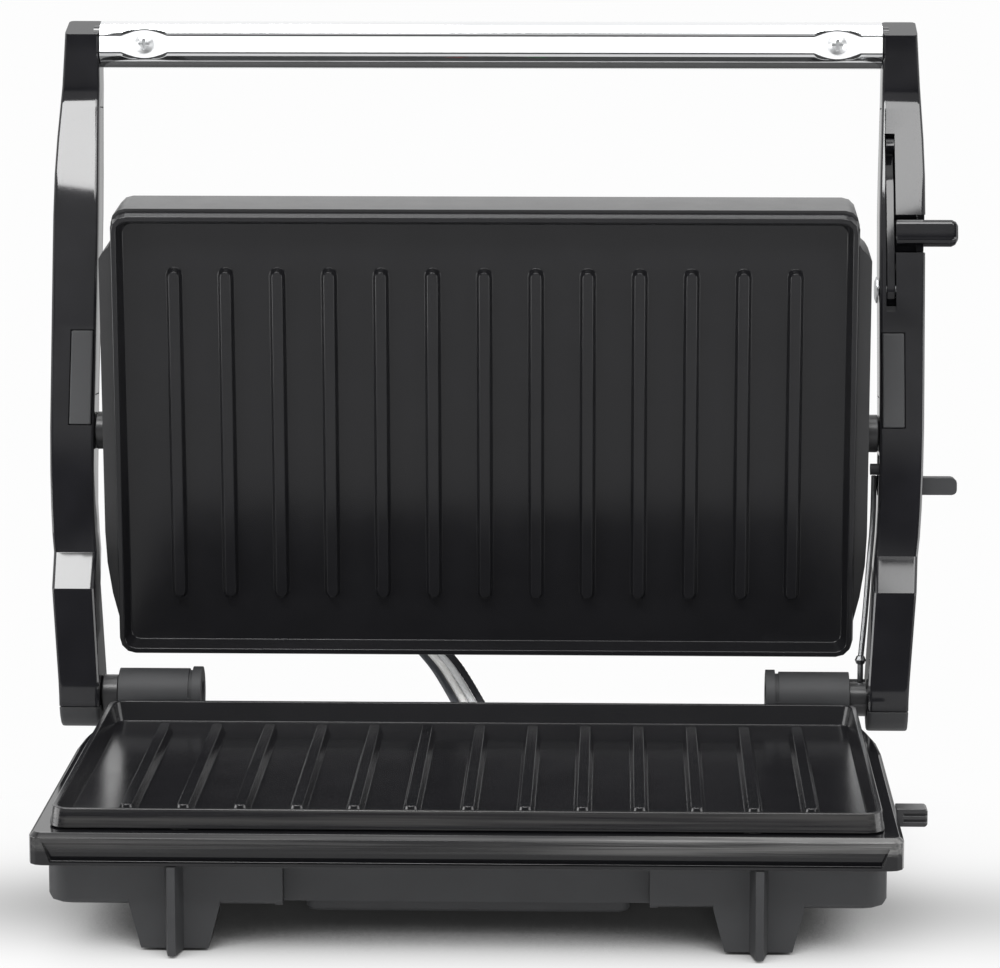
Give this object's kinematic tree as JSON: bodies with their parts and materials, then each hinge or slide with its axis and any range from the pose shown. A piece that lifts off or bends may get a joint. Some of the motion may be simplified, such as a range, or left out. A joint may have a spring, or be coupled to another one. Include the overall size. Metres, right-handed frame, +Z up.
{
  "type": "contact grill",
  "caption": "Electric contact grill with ribbed plates, a footed base and a floating lid hung between swan-neck arms with a tubular handle",
  "frame": {"origin": "middle of the bottom of the bounding box, grill open as in the picture", "axes": "+X to the user's right, +Y to the back, +Z up"},
  "size_m": [0.2902, 0.2424, 0.2481],
  "materials": {
    "matt": "matt dark grey",
    "gloss": "gloss black",
    "coating": "dark non-stick coating on cast aluminium",
    "steel": "bare",
    "sheet": "bare sheet",
    "satin": "satin black",
    "ceramic": "off-white ceramic",
    "rubber": "matt black",
    "dark_sleeve": "dark grey silicone",
    "white_sleeve": "white silicone",
    "grey_sleeve": "light grey silicone",
    "black_sleeve": "black braid",
    "chrome": "polished",
    "red_lens": "translucent red",
    "green_lens": "translucent green"
  },
  "bodies": {
    "base": {"base_tray": "matt", "base_frame": "gloss", "base_hatch": "matt", "lower_plate": "coating", "lower_element": "steel", "lower_shield": "sheet", "latch_peg": "satin", "terminal_block": "ceramic", "cord_gland": "rubber", "base_lead_ring": "rubber", "foot_pad_front_left": "rubber", "base_screw_front_left": "steel", "foot_pad_rear_left": "rubber", "base_screw_rear_left": "steel", "lower_shield_screw_left": "steel", "foot_pad_front_right": "rubber", "base_screw_front_right": "steel", "foot_pad_rear_right": "rubber", "base_screw_rear_right": "steel", "lower_shield_screw_right": "steel", "lead_dark": "dark_sleeve", "lead_white": "white_sleeve", "lead_grey": "grey_sleeve", "lead_braided": "black_sleeve"},
    "hinge_pins": {"hinge_pin_left": "satin", "hinge_pin_right": "satin"},
    "arms": {"arm_left": "gloss", "arm_cover_left": "gloss", "arm_cap_left": "matt", "arm_inset_left": "matt", "pivot_bush_left": "satin", "handle_screw_left": "chrome", "arm_right": "gloss", "arm_cover_right": "gloss", "arm_cap_right": "matt", "arm_inset_right": "matt", "pivot_bush_right": "satin", "handle_screw_right": "chrome", "handle_tube": "chrome", "latch_rivet": "steel"},
    "lid": {"pivot_pin_left": "satin", "pivot_pin_right": "satin", "lid_housing": "satin", "lid_panel": "steel", "power_light": "red_lens", "ready_light": "green_lens", "lid_lead_ring": "rubber", "upper_plate": "coating", "upper_element": "steel", "upper_shield": "sheet", "upper_shield_screw_left": "steel", "upper_shield_screw_right": "steel", "thermostat": "ceramic", "thermal_fuse": "ceramic"},
    "latch": {"latch_hook": "gloss", "latch_lever": "gloss"},
    "release": {"release_tab": "matt", "release_rod": "steel"}
  },
  "joints": [
    {"name": "flat_opening", "type": "hinge", "parent": "base", "child": "hinge_pins", "pos_m": [-0.00509, 0.04, 0.0407], "axis": [-1, 0, 0], "range_deg": [0, 78], "deforming": ["lead_dark", "lead_white", "lead_grey", "lead_braided"]},
    {"name": "arm_hinge", "type": "hinge", "parent": "hinge_pins", "child": "arms", "pos_m": [-0.00509, 0.04, 0.0407], "axis": [-1, 0, 0], "range_deg": [-94.7, 0], "deforming": ["lead_dark", "lead_white", "lead_grey", "lead_braided"]},
    {"name": "lid_tilt", "type": "hinge", "parent": "arms", "child": "lid", "pos_m": [-0.00509, 0.06892, 0.1203], "axis": [-1, 0, 0], "range_deg": [0, 9], "deforming": ["lead_dark", "lead_white", "lead_grey", "lead_braided"]},
    {"name": "latch_swing", "type": "hinge", "parent": "arms", "child": "latch", "pos_m": [-0.00509, 0.08232, 0.16465], "axis": [1, 0, 0], "range_deg": [0, 116]},
    {"name": "release_slide", "type": "slide", "parent": "arms", "child": "release", "axis": [0, 0.0819, 0.9966], "range_m": [0, 0.0025], "stiffness_N_per_m": 250}
  ],
  "couplings": [
    {"joint": "lid_tilt", "follows": "arm_hinge", "ratio": -0.095}
  ]
}
